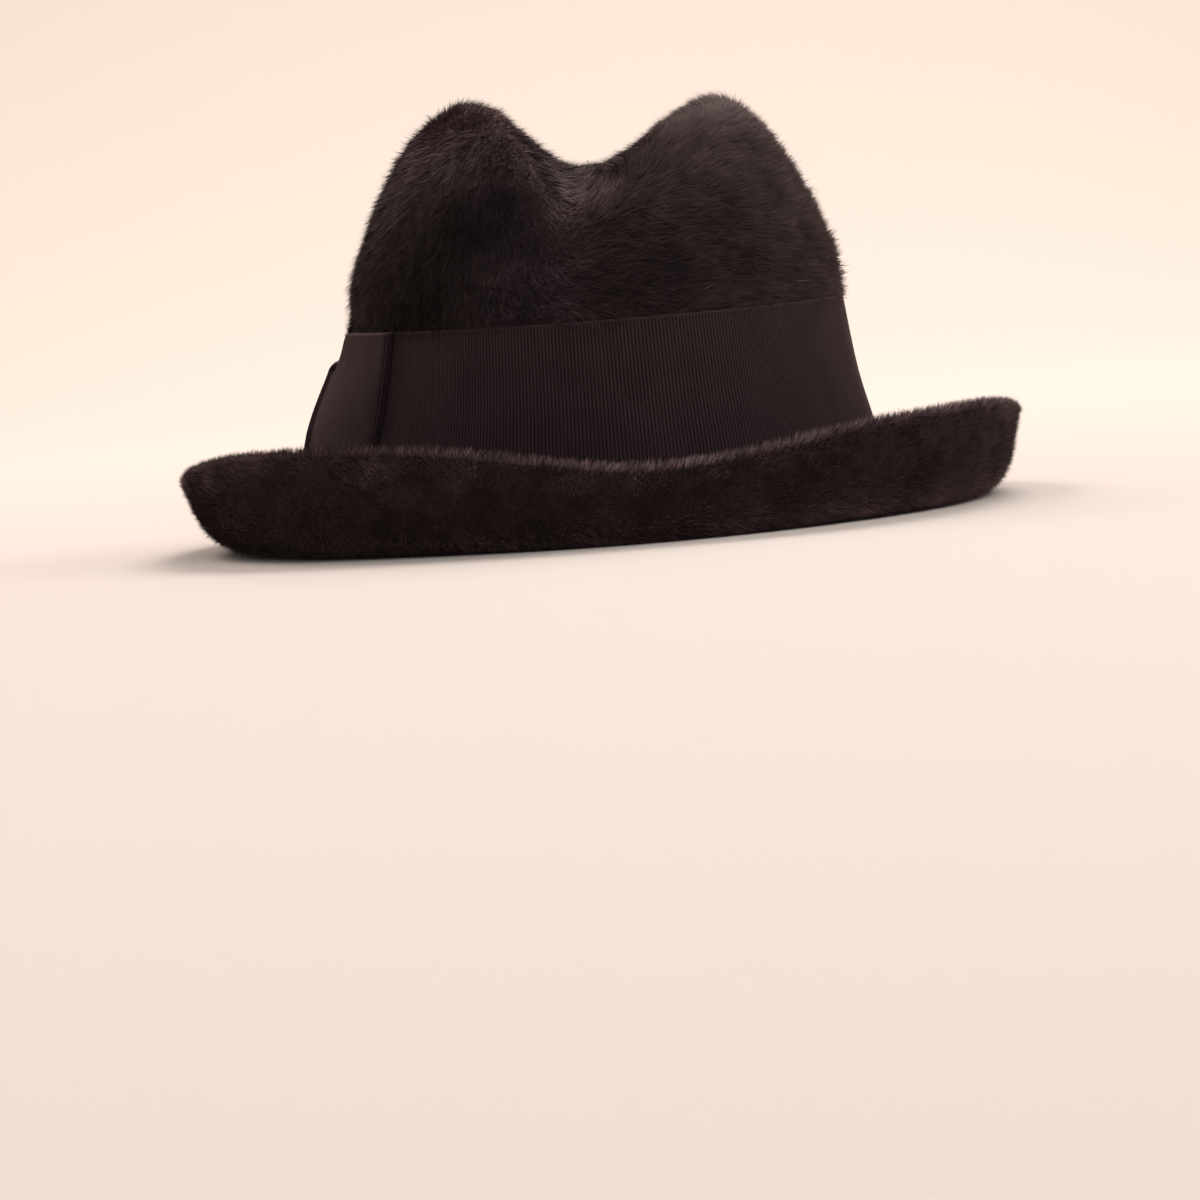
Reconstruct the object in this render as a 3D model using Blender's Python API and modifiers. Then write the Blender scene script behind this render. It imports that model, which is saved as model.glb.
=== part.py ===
# Trilby of fur felt with a wide grosgrain ribbon and a flat bow.
# Metres, +Z up. +Y is the front of the hat, +X the wearer's right. The hat stands on z = 0
# by itself, on the fold of its turned-up back brim and the edge of its snapped-down front brim.

import bpy
import bmesh
import math
from mathutils import Vector

# Crown, measured on the outside of the felt
FOOT_WIDTH = 0.170            # across the foot of the crown
FOOT_LENGTH = 0.206           # front to back at the foot of the crown
CROWN_HEIGHT = 0.114          # foot to the two ridges beside the crease
FELT = 0.0025                 # thickness of the felt

# Brim
BRIM_REACH = 0.046            # how far the brim stands out at its sides
BRIM_HEIGHT = 0.022           # height that the table of brim sections is a share of

# Folds of the crown
CREASE_DEPTH = 0.027          # depth of the crease below the open crown
CREASE_WIDTH = 0.045          # half the width of the crease
TROUGH_DEPTH = 0.008          # the sharper trough along the left side of the crease
PINCH_DEPTH = 0.012           # the two pinches at the front
PINCH_SIZE = 0.034            # reach of a pinch over the felt
HOLLOW_DEPTH = 0.004          # the soft hollow behind, left of the crease
HOLLOW_SIZE = 0.030

# Ribbon and bow
RIBBON_WIDTH = 0.0478
RIBBON = 0.0010               # thickness of the ribbon
RIBBON_SEAT = 0.0010          # lower edge of the ribbon above the brim
BOW_TURN = 265.5              # degrees from the back, by the wearer's right, to the knot
BOW_REAR = 0.0555             # knot to the rear fold, along the ribbon
BOW_FRONT = 0.0480            # knot to the front fold, along the ribbon
BOW_LEAN = 0.005              # how much farther a fold reaches at its top than at its foot
BOW_SWELL = 0.0065            # how far the bow swells from the ribbon at the knot
BOW_BELLY = 0.32              # share of the ribbon's width below which the bow is fullest
BOW_FLAT = 0.90               # share of the ribbon's width above which it lies flat
BOW_ROUND = 0.8               # how soon the swell fades towards a fold
BOW_FILL = 0.0005             # room between a loop's two layers at the top of the knot
GATHER_REACH = 0.016          # how far from the knot the gathering of a loop reaches
GATHER_LIFT = 0.009           # how far the foot of a loop is drawn up at the knot
FOLD_RADIUS = 0.0016          # outside radius of a loop's fold
KNOT_WIDTH = 0.017
KNOT_HEIGHT = 0.037
KNOT_DROP = 0.0040            # middle of the knot below the middle of the ribbon
KNOT_CORNER = 0.0022          # outside radius where the wrap turns round the bow

GAP = 0.0003                  # clearance between neighbouring pieces
BAND_FACE = GAP + RIBBON      # outer face of the ribbon band, from the felt
LOOP_START = 1.5 * GAP        # inner ends of the two loops from the knot's middle
PRESSED = 0.0008              # how far the felt is pressed flat where it rests

# Fineness of the mesh
AROUND = 64                   # stations round the hat
BRIM_STEPS = 10
WALL_STEPS = 7
TOP_STEPS = 15
BAND_STEPS = 3
LOOP_STEPS = 7                # stations along each layer of a bow loop
LOOP_ROWS = 3
FOLD_STEPS = 4
KNOT_ROWS = 3
KNOT_STEPS = 6                # along the knot's face
CORNER_STEPS = 3
HALVINGS = 40                 # steps of a search by halving
STRIDE = 0.5                  # degrees a step along the ribbon

# Brim sections by the turn from the back. A section leaves the foot of the crown, bends at a
# corner and ends at the edge. Outward lengths are shares of BRIM_REACH and heights of BRIM_HEIGHT;
# tight says how closely the bend follows its corner.
BRIM_COLUMNS = ("turn", "bend_out", "bend_up", "edge_out", "edge_up", "tight")
BRIM_SECTIONS = (
    (0, 0.60, -0.99, 0.72, 0.32, 1.8),        # back, turned up
    (32, 0.64, -0.94, 0.78, 0.60, 1.7),
    (60, 0.72, -1.06, 0.84, 0.60, 1.6),       # back quarter, highest curl
    (90, 0.78, -1.06, 0.90, 0.24, 1.5),       # side
    (120, 0.70, -0.34, 0.96, -0.30, 1.2),     # front quarter
    (150, 0.58, 0.04, 0.96, -0.80, 1.1),
    (180, 0.56, 0.12, 0.94, -0.92, 1.1),      # front, snapped down
    (210, 0.58, 0.04, 0.96, -0.80, 1.1),
    (240, 0.70, -0.34, 0.98, -0.30, 1.2),
    (270, 0.78, -0.92, 0.95, 0.28, 1.5),
    (300, 0.72, -0.96, 0.86, 0.68, 1.6),
    (328, 0.64, -0.94, 0.79, 0.66, 1.7),
)

# Open crown, before its folds. Level runs evenly over the felt from the foot to the top. Heights
# are shares of CROWN_HEIGHT, widths and lengths of the foot.
CROWN_COLUMNS = ("level", "up", "wide", "long")
CROWN_SECTIONS = (
    (0.000, 0.000, 1.000, 1.000),
    (0.058, 0.083, 0.974, 0.982),
    (0.154, 0.220, 0.930, 0.950),
    (0.298, 0.430, 0.892, 0.912),      # top of the ribbon
    (0.387, 0.560, 0.870, 0.878),
    (0.458, 0.658, 0.820, 0.838),
    (0.520, 0.740, 0.771, 0.794),
    (0.578, 0.815, 0.716, 0.742),
    (0.630, 0.880, 0.660, 0.680),
    (0.686, 0.942, 0.587, 0.594),
    (0.738, 0.988, 0.506, 0.490),
    (0.793, 1.018, 0.405, 0.385),
    (0.873, 1.042, 0.250, 0.240),
    (1.000, 1.054, 0.000, 0.000),
)
WALL_LEVEL = 0.387            # level where the wall ends and the crown begins to turn over

# The crease, by place along the hat as a share of half FOOT_LENGTH, back to front. Centre and
# half widths are shares of CREASE_WIDTH, deep of CREASE_DEPTH, trough of TROUGH_DEPTH.
CREASE_COLUMNS = ("along", "centre", "deep", "left", "right", "trough", "trough_left")
CREASE_SECTIONS = (
    (-0.88, -0.34, 0.00, 0.75, 0.90, 0.00, 0.26),
    (-0.80, -0.32, 0.20, 0.75, 0.92, 0.15, 0.26),
    (-0.72, -0.28, 0.46, 0.78, 0.96, 0.42, 0.28),    # lip at the back
    (-0.61, -0.22, 0.66, 0.82, 1.00, 0.66, 0.32),
    (-0.45, -0.12, 0.80, 0.86, 1.04, 0.74, 0.38),
    (-0.20, 0.00, 0.94, 0.94, 1.06, 0.40, 0.44),
    (0.00, 0.05, 1.00, 0.96, 1.04, 0.10, 0.44),
    (0.25, 0.05, 0.96, 0.96, 1.02, 0.00, 0.44),
    (0.50, 0.02, 0.76, 0.90, 0.96, 0.00, 0.44),
    (0.68, 0.00, 0.50, 0.82, 0.86, 0.00, 0.44),
    (0.80, 0.00, 0.20, 0.74, 0.76, 0.00, 0.44),
    (0.88, 0.00, 0.00, 0.70, 0.70, 0.00, 0.44),
)
TROUGH_RIGHT = 0.60           # share of CREASE_WIDTH that the trough runs out in, to the right

# Soft dents, pressed straight in: turn from the back, height as a share of CROWN_HEIGHT
DENT_COLUMNS = ("turn", "up", "deep", "size")
DENTS = (
    (148, 0.80, PINCH_DEPTH, PINCH_SIZE),
    (212, 0.80, PINCH_DEPTH, PINCH_SIZE),
    (336, 0.66, HOLLOW_DEPTH, HOLLOW_SIZE),
)

FELT_COLOUR = (0.018, 0.013, 0.011, 1.0)
RIBBON_COLOUR = (0.020, 0.018, 0.020, 1.0)
FELT_ROUGHNESS = 0.95
RIBBON_ROUGHNESS = 0.7
MOST_LEAN = 0.3               # radians, limit of the search for the resting lean
BLOCK_SHARE = 0.2             # height of the floor guide as a share of its side


def table_curve(columns, rows, key, name, period=0.0):
    # a smooth curve through one named column of a table
    at = columns.index(key)
    of = columns.index(name)
    points = [(float(row[at]), float(row[of])) for row in rows]
    if period:
        ahead = [(x + period, y) for x, y in points[:2]]
        behind = [(x - period, y) for x, y in points[-2:]]
        points = behind + points + ahead
    slopes = []
    for i in range(len(points)):
        lower = points[max(0, i - 1)]
        upper = points[min(len(points) - 1, i + 1)]
        slopes.append((upper[1] - lower[1]) / (upper[0] - lower[0]))

    def value(x):
        if period:
            x = x % period
        x = min(max(x, points[0][0]), points[-1][0])
        i = 0
        while i < len(points) - 2 and x > points[i + 1][0]:
            i += 1
        (x0, y0), (x1, y1) = points[i], points[i + 1]
        step = x1 - x0
        t = (x - x0) / step
        rise = (2 * t ** 3 - 3 * t ** 2 + 1) * y0 + (3 * t ** 2 - 2 * t ** 3) * y1
        lean = (t ** 3 - 2 * t ** 2 + t) * slopes[i] + (t ** 3 - t ** 2) * slopes[i + 1]
        return rise + lean * step

    return value


brim_at = {name: table_curve(BRIM_COLUMNS, BRIM_SECTIONS, "turn", name, 360.0)
           for name in BRIM_COLUMNS[1:]}
crown_at = {name: table_curve(CROWN_COLUMNS, CROWN_SECTIONS, "level", name)
            for name in CROWN_COLUMNS[1:]}
crease_at = {name: table_curve(CREASE_COLUMNS, CREASE_SECTIONS, "along", name)
             for name in CREASE_COLUMNS[1:]}


def soft(share):
    # one at the middle of a fold, falling smoothly to nothing at a share of one
    return max(0.0, 1.0 - share * share) ** 2


def level_at(height):
    # the level of the open crown at a height above its foot
    low, high = 0.0, 1.0
    for _ in range(HALVINGS):
        middle = 0.5 * (low + high)
        if CROWN_HEIGHT * crown_at["up"](middle) < height:
            low = middle
        else:
            high = middle
    return low


def open_crown(turn, level):
    # the crown before its folds
    angle = math.radians(turn)
    across = 0.5 * FOOT_WIDTH * crown_at["wide"](level) * math.sin(angle)
    along = -0.5 * FOOT_LENGTH * crown_at["long"](level) * math.cos(angle)
    return Vector((across, along, CROWN_HEIGHT * crown_at["up"](level)))


def crease_drop(point):
    along = point.y / (0.5 * FOOT_LENGTH)
    if abs(along) >= CREASE_SECTIONS[-1][0]:
        return 0.0
    row = {name: crease_at[name](along) for name in CREASE_COLUMNS[1:]}
    aside = point.x / CREASE_WIDTH - row["centre"]
    half = row["left"] if aside < 0 else row["right"]
    steep = row["trough_left"] if aside < 0 else TROUGH_RIGHT
    drop = CREASE_DEPTH * max(row["deep"], 0.0) * soft(aside / half)
    return drop + TROUGH_DEPTH * max(row["trough"], 0.0) * soft(aside / steep)


def placed_dents():
    # the table of dents, each with its centre on the open crown
    made = [dict(zip(DENT_COLUMNS, row)) for row in DENTS]
    for dent in made:
        dent["centre"] = open_crown(dent["turn"], level_at(CROWN_HEIGHT * dent["up"]))
    return made


dents = placed_dents()


def crown_point(turn, level):
    point = open_crown(turn, level)
    inward = Vector((-point.x, -point.y, 0.0))
    if inward.length > 0:
        inward.normalize()
    pressed = 0.0
    for dent in dents:
        pressed += dent["deep"] * soft((point - dent["centre"]).length / dent["size"])
    return point + inward * pressed - Vector((0, 0, crease_drop(point)))


def brim_point(turn, step):
    # the upper face of the brim, from the foot of the crown (0) to the edge (1)
    row = {name: brim_at[name](turn) for name in BRIM_COLUMNS[1:]}
    start = Vector((0.0, 0.0))
    corner = Vector((row["bend_out"] * BRIM_REACH, row["bend_up"] * BRIM_HEIGHT))
    edge = Vector((row["edge_out"] * BRIM_REACH, row["edge_up"] * BRIM_HEIGHT))
    parts = ((1 - step) ** 2, 2 * row["tight"] * step * (1 - step), step ** 2)
    spot = (start * parts[0] + corner * parts[1] + edge * parts[2]) / sum(parts)
    angle = math.radians(turn)
    across = (0.5 * FOOT_WIDTH + spot.x) * math.sin(angle)
    along = -(0.5 * FOOT_LENGTH + spot.x) * math.cos(angle)
    return Vector((across, along, spot.y))


def band_point(turn, height, out):
    # a point beside the crown's wall, at a height above the brim and a distance from the felt
    point = open_crown(turn, level_at(height))
    angle = math.radians(turn)
    outward = Vector((math.sin(angle) / FOOT_WIDTH, -math.cos(angle) / FOOT_LENGTH, 0.0))
    outward.normalize()
    return point + outward * out


def turn_along(turn, distance, height, out):
    # the turn that lies a distance along the ribbon from a given turn
    here = band_point(turn, height, out)
    left = abs(distance)
    sign = 1.0 if distance > 0 else -1.0
    while left > 0:
        following = band_point(turn + sign * STRIDE, height, out)
        length = (following - here).length
        if length >= left:
            return turn + sign * STRIDE * left / length
        left -= length
        turn += sign * STRIDE
        here = following
    return turn


def grid_mesh(name, rows, closed_around, pole=None):
    # a sheet of quads from rows of points, each row one line of the sheet
    sheet = bmesh.new()
    made = [[sheet.verts.new(point) for point in row] for row in rows]
    count = len(rows[0])
    last = count if closed_around else count - 1
    for lower, upper in zip(made, made[1:]):
        for i in range(last):
            j = (i + 1) % count
            sheet.faces.new((lower[i], lower[j], upper[j], upper[i]))
    if pole is not None:
        top = sheet.verts.new(pole)
        for i in range(count):
            sheet.faces.new((made[-1][i], made[-1][(i + 1) % count], top))
    mesh = bpy.data.meshes.new(name)
    sheet.to_mesh(mesh)
    sheet.free()
    mesh.shade_smooth()
    return mesh


def make_material(name, colour, roughness):
    material = bpy.data.materials.new(name)
    material.use_nodes = True
    shader = material.node_tree.nodes["Principled BSDF"]
    shader.inputs["Base Color"].default_value = colour
    shader.inputs["Roughness"].default_value = roughness
    shader.inputs["Metallic"].default_value = 0.0
    material.diffuse_color = colour
    return material


def add_shell(mesh, thickness, look, collection, parent):
    # the sheet is the piece's outer face; the wall grows inward from it
    piece = bpy.data.objects.new(mesh.name, mesh)
    mesh.materials.append(make_material(mesh.name, *look))
    collection.objects.link(piece)
    piece.parent = parent
    wall = piece.modifiers.new("wall", "SOLIDIFY")
    wall.thickness = thickness
    wall.offset = -1.0
    wall.use_even_offset = True
    wall.use_quality_normals = True
    return piece


def felt_sheet():
    turns = [360.0 * i / AROUND for i in range(AROUND)]
    rows = []
    for i in range(BRIM_STEPS, 0, -1):
        rows.append([brim_point(turn, i / BRIM_STEPS) for turn in turns])
    for i in range(WALL_STEPS):
        rows.append([crown_point(turn, WALL_LEVEL * i / WALL_STEPS) for turn in turns])
    for i in range(TOP_STEPS):
        level = WALL_LEVEL + (1.0 - WALL_LEVEL) * i / TOP_STEPS
        rows.append([crown_point(turn, level) for turn in turns])
    return grid_mesh("felt_body", rows, True, crown_point(0.0, 1.0))


def ribbon_sheet():
    turns = [360.0 * i / AROUND for i in range(AROUND)]
    rows = []
    for i in range(BAND_STEPS + 1):
        height = RIBBON_SEAT + RIBBON_WIDTH * i / BAND_STEPS
        rows.append([band_point(turn, height, BAND_FACE) for turn in turns])
    return grid_mesh("ribbon_band", rows, True)


def loop_sheet(name, reach):
    # one bow loop: from inside the knot along the ribbon, round the fold, back over the outside.
    # Distances from the ribbon band's face are called out; the sheet is the loop's outer face.
    sign = 1.0 if reach > 0 else -1.0
    length = abs(reach)
    in_knot = 0.5 * KNOT_WIDTH + GAP
    low_in_knot = RIBBON + 2 * GAP
    high_in_knot = low_in_knot + 2 * RIBBON + BOW_FILL
    foot = RIBBON_SEAT
    top = RIBBON_SEAT + RIBBON_WIDTH
    knot_middle = 0.5 * (foot + top) - KNOT_DROP
    inside = 0.5 * KNOT_HEIGHT - RIBBON - KNOT_CORNER
    foot_in_knot = knot_middle - inside + GATHER_LIFT
    top_in_knot = knot_middle + inside
    free = length - FOLD_RADIUS - in_knot
    # stations: distance from the knot, out, how much is gathered, how much swells
    inner = [(LOOP_START, low_in_knot, 1.0, 0.0)]
    outer = [(LOOP_START, high_in_knot, 1.0, 1.0)]
    for i in range(LOOP_STEPS + 1):
        share = i / LOOP_STEPS
        gathered = soft(share * free / GATHER_REACH)
        low = GAP + (low_in_knot - GAP) * gathered
        high = (GAP + 2 * FOLD_RADIUS) * (1 - gathered) + high_in_knot * gathered
        inner.append((in_knot + share * free, low, gathered, 0.0))
        outer.append((in_knot + share * free, high, gathered, (1.0 - share) ** BOW_ROUND))
    turned = []
    for i in range(1, FOLD_STEPS):
        angle = math.pi * i / FOLD_STEPS
        distance = length - FOLD_RADIUS + FOLD_RADIUS * math.sin(angle)
        out = GAP + FOLD_RADIUS - FOLD_RADIUS * math.cos(angle)
        turned.append((distance, out, 0.0, 0.0))
    rows = []
    for row in range(LOOP_ROWS + 1):
        share = row / LOOP_ROWS
        line = []
        for distance, out, gathered, swell in inner + turned + outer[::-1]:
            low_edge = foot + (foot_in_knot - foot) * gathered
            high_edge = top + (top_in_knot - top) * gathered
            height = low_edge + (high_edge - low_edge) * share
            out += BOW_SWELL * swell * belly(height)
            lean = BOW_LEAN * (share - 0.5) * distance / length
            turn = turn_along(BOW_TURN, sign * (distance + lean), 0.5 * (foot + top), BAND_FACE)
            line.append(band_point(turn, height, BAND_FACE + out))
        rows.append(line)
    if sign > 0:
        rows.reverse()
    return grid_mesh(name, rows, False)


def belly(height):
    # the bow swells most below its middle and lies flat at the top of the ribbon
    share = (height - RIBBON_SEAT) / RIBBON_WIDTH
    return soft(max(share - BOW_BELLY, 0.0) / (BOW_FLAT - BOW_BELLY))


def knot_sheet():
    # the ribbon wrapped round the bow's middle: a flat ring with rounded ends
    middle = RIBBON_SEAT + 0.5 * RIBBON_WIDTH - KNOT_DROP
    near = GAP
    far = 4 * RIBBON + 3 * GAP + BOW_FILL
    straight = 0.5 * KNOT_HEIGHT - KNOT_CORNER
    outline = []
    for quarter in range(4):
        above = 1 if quarter in (0, 3) else -1
        outside = 1 if quarter in (0, 1) else -1
        for i in range(CORNER_STEPS + 1):
            angle = 0.5 * math.pi * (1 - quarter - i / CORNER_STEPS)
            height = above * straight + KNOT_CORNER * math.sin(angle)
            depth = far - KNOT_CORNER if outside > 0 else near + KNOT_CORNER
            outline.append((height, depth + KNOT_CORNER * math.cos(angle)))
        if quarter in (0, 2):
            face = far if quarter == 0 else near
            for i in range(1, KNOT_STEPS):
                outline.append((above * straight * (1.0 - 2.0 * i / KNOT_STEPS), face))
    rows = []
    for i in range(KNOT_ROWS + 1):
        aside = i / KNOT_ROWS - 0.5
        turn = turn_along(BOW_TURN, aside * KNOT_WIDTH, middle, BAND_FACE)
        line = []
        for height, out in outline:
            if out > 0.5 * (near + far):
                out += BOW_SWELL * belly(middle + height)
            line.append(band_point(turn, middle + height, BAND_FACE + out))
        rows.append(line)
    return grid_mesh("bow_knot", rows, True)


def rest_angle(points):
    # the lean at which the lowest points of the back and of the front touch one level
    behind = [p for p in points if p.y < 0]
    ahead = [p for p in points if p.y >= 0]
    low, high = -MOST_LEAN, MOST_LEAN
    for _ in range(HALVINGS):
        lean = 0.5 * (low + high)
        back = min(p.y * math.sin(lean) + p.z * math.cos(lean) for p in behind)
        front = min(p.y * math.sin(lean) + p.z * math.cos(lean) for p in ahead)
        if front < back:
            low = lean
        else:
            high = lean
    return 0.5 * (low + high)


def world_points(piece):
    bpy.context.view_layer.update()
    evaluated = piece.evaluated_get(bpy.context.evaluated_depsgraph_get())
    mesh = evaluated.to_mesh()
    points = [piece.matrix_world @ vertex.co for vertex in mesh.vertices]
    evaluated.to_mesh_clear()
    return points


def add_floor_block(collection, size):
    # a guide: the level that the felt is pressed flat on
    mesh = bpy.data.meshes.new("floor_level")
    block = bmesh.new()
    bmesh.ops.create_cube(block, size=1.0)
    for vertex in block.verts:
        below = (vertex.co.z - 0.5) * BLOCK_SHARE
        vertex.co = size * Vector((vertex.co.x, vertex.co.y, below))
    block.to_mesh(mesh)
    block.free()
    guide = bpy.data.objects.new("floor_level", mesh)
    guide.hide_render = True
    guide.display_type = "WIRE"
    collection.objects.link(guide)
    return guide


def build():
    for old in list(bpy.data.objects):
        bpy.data.objects.remove(old, do_unlink=True)
    hat = bpy.data.collections.new("trilby")
    guides = bpy.data.collections.new("guides")
    bpy.context.scene.collection.children.link(hat)
    bpy.context.scene.collection.children.link(guides)
    stand = bpy.data.objects.new("hat_stand", None)
    guides.objects.link(stand)

    felt = add_shell(felt_sheet(), FELT, (FELT_COLOUR, FELT_ROUGHNESS), hat, stand)
    wing = loop_sheet("bow_wing", BOW_REAR)
    loop = loop_sheet("bow_loop", -BOW_FRONT)
    for sheet in (ribbon_sheet(), wing, loop, knot_sheet()):
        add_shell(sheet, RIBBON, (RIBBON_COLOUR, RIBBON_ROUGHNESS), hat, stand)

    stand.rotation_euler.x = rest_angle(world_points(felt))
    points = world_points(felt)
    stand.location.x = -0.5 * (min(p.x for p in points) + max(p.x for p in points))
    stand.location.y = -0.5 * (min(p.y for p in points) + max(p.y for p in points))
    stand.location.z = -min(p.z for p in points) - PRESSED

    floor = add_floor_block(guides, 4 * FOOT_LENGTH)
    press = felt.modifiers.new("pressed_flat", "BOOLEAN")
    press.operation = "DIFFERENCE"
    press.solver = "EXACT"
    press.object = floor
    bpy.context.view_layer.update()


build()
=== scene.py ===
import math
import bpy
import numpy as np
from mathutils import Matrix, Vector
from mathutils.kdtree import KDTree


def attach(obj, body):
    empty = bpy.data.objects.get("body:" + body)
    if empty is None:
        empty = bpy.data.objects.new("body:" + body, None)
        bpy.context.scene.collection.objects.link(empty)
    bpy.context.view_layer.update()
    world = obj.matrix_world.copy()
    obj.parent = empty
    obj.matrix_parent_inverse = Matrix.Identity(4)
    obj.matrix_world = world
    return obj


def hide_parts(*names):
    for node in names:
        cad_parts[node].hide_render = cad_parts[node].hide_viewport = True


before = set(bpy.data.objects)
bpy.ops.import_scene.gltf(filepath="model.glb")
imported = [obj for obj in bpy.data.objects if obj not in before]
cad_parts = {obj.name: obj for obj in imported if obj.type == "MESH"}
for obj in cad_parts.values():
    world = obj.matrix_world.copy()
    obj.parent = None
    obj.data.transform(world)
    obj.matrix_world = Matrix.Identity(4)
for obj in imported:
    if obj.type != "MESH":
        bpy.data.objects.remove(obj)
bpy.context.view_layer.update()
scene = bpy.context.scene
print("frame loaded")

# The hat's own sizes. They follow the CAD source, but the trough beside the crease is deeper here.
# Hat coordinates have their origin in the middle of the crown's foot, +Y to the front, +X to the
# wearer's right, +Z up.
hat = {
    "footWidth": 0.170,
    "footLength": 0.206,
    "crownHeight": 0.114,
    "feltThick": 0.0025,
    "brimReach": 0.046,
    "brimHeight": 0.022,
    "creaseDepth": 0.027,
    "creaseWidth": 0.045,
    "troughDepth": 0.012,
    "troughRight": 0.60,
    "crestSharp": 1.15,          # towards 1 the left crest of the crease is a crisper fold
    "wallLevel": 0.387,
    "gap": 0.0003,
    "place": (0.001113, -0.004005, 0.017518),   # where the hat's origin stands on the floor's axes
    "lean": 0.024312,                           # radians, leaning back at rest
}

# turn from the back, then the bend and the edge of the brim, and how tight the bend is
brimRows = (
    (0, 0.60, -0.99, 0.72, 0.32, 1.8),
    (32, 0.64, -0.94, 0.78, 0.60, 1.7),
    (60, 0.72, -1.06, 0.84, 0.60, 1.6),
    (90, 0.78, -1.06, 0.90, 0.24, 1.5),
    (120, 0.70, -0.34, 0.96, -0.30, 1.2),
    (150, 0.58, 0.04, 0.96, -0.80, 1.1),
    (180, 0.56, 0.12, 0.94, -0.92, 1.1),
    (210, 0.58, 0.04, 0.96, -0.80, 1.1),
    (240, 0.70, -0.34, 0.98, -0.30, 1.2),
    (270, 0.85, -0.92, 0.98, 0.30, 1.6),
    (300, 0.85, -0.92, 0.93, 0.71, 1.8),
    (328, 0.64, -0.94, 0.79, 0.71, 1.7),
)

# level over the open crown, then height, width and length
crownRows = (
    (0.000, 0.000, 1.000, 1.000),
    (0.058, 0.083, 0.974, 0.982),
    (0.154, 0.220, 0.930, 0.950),
    (0.298, 0.430, 0.892, 0.912),
    (0.387, 0.560, 0.870, 0.878),
    (0.458, 0.658, 0.820, 0.838),
    (0.520, 0.740, 0.771, 0.794),
    (0.578, 0.815, 0.716, 0.742),
    (0.630, 0.880, 0.660, 0.680),
    (0.686, 0.942, 0.587, 0.594),
    (0.738, 0.988, 0.506, 0.490),
    (0.793, 1.018, 0.405, 0.385),
    (0.873, 1.042, 0.250, 0.240),
    (1.000, 1.054, 0.000, 0.000),
)

# place along the crease, then centre, depth, half widths left and right, trough, trough's left half
creaseRows = (
    (-0.88, -0.34, 0.00, 0.70, 0.90, 0.00, 0.16),
    (-0.80, -0.32, 0.18, 0.44, 0.92, 0.15, 0.16),
    (-0.72, -0.28, 0.41, 0.44, 0.96, 0.42, 0.18),
    (-0.61, -0.22, 0.58, 0.50, 1.00, 0.66, 0.27),
    (-0.45, -0.12, 0.71, 0.64, 1.04, 0.74, 0.46),
    (-0.20, 0.00, 0.89, 0.86, 1.06, 0.44, 0.64),
    (0.00, 0.05, 0.99, 0.94, 1.04, 0.12, 0.64),
    (0.25, 0.05, 0.96, 0.96, 1.02, 0.00, 0.50),
    (0.50, 0.02, 0.76, 0.90, 0.96, 0.00, 0.44),
    (0.68, 0.00, 0.50, 0.82, 0.86, 0.00, 0.44),
    (0.80, 0.00, 0.20, 0.74, 0.76, 0.00, 0.44),
    (0.88, 0.00, 0.00, 0.70, 0.70, 0.00, 0.44),
)

# soft dents: turn, height share, depth, reach
dentRows = (
    (148, 0.80, 0.012, 0.034),
    (212, 0.80, 0.012, 0.034),
    (336, 0.66, 0.004, 0.030),
)


def columnCurve(rows, column, period=0.0):
    xs = [row[0] for row in rows]
    ys = [row[column] for row in rows]
    if period:
        xs = [x - period for x in xs[-2:]] + xs + [x + period for x in xs[:2]]
        ys = ys[-2:] + ys + ys[:2]
    xs, ys = np.array(xs, float), np.array(ys, float)
    before = np.maximum(np.arange(len(xs)) - 1, 0)
    after = np.minimum(np.arange(len(xs)) + 1, len(xs) - 1)
    slopes = (ys[after] - ys[before]) / (xs[after] - xs[before])

    def value(x):
        x = np.asarray(x, float)
        x = np.clip(x % period if period else x, xs[0], xs[-1])
        i = np.clip(np.searchsorted(xs, x) - 1, 0, len(xs) - 2)
        step = xs[i + 1] - xs[i]
        t = (x - xs[i]) / step
        rise = (2 * t ** 3 - 3 * t ** 2 + 1) * ys[i] + (3 * t ** 2 - 2 * t ** 3) * ys[i + 1]
        bend = (t ** 3 - 2 * t ** 2 + t) * slopes[i] + (t ** 3 - t ** 2) * slopes[i + 1]
        return rise + bend * step

    return value


bendOut, bendUp, edgeOut, edgeUp, bendTight = (columnCurve(brimRows, i, 360.0) for i in range(1, 6))
crownUp, crownWide, crownLong = (columnCurve(crownRows, i) for i in range(1, 4))
creaseCentre, creaseDeep, creaseLeft, creaseRight, troughDeep, troughLeft = (
    columnCurve(creaseRows, i) for i in range(1, 7))

levelSteps = np.linspace(0.0, 1.0, 4001)
heightSteps = np.maximum.accumulate(hat["crownHeight"] * crownUp(levelSteps))


def levelAt(height):
    return np.interp(height, heightSteps, levelSteps)


def soft(share):
    return np.maximum(0.0, 1.0 - share * share) ** 2


def smooth(low, high, x):
    t = np.clip((x - low) / (high - low), 0.0, 1.0)
    return t * t * (3.0 - 2.0 * t)


def unit(v):
    return v / np.maximum(np.linalg.norm(v, axis=-1, keepdims=True), 1e-12)


def openCrown(turn, level):
    angle = np.radians(turn)
    x = 0.5 * hat["footWidth"] * crownWide(level) * np.sin(angle)
    y = -0.5 * hat["footLength"] * crownLong(level) * np.cos(angle)
    z = hat["crownHeight"] * crownUp(level) + 0.0 * x
    return np.stack((x, y, z), -1)


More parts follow.
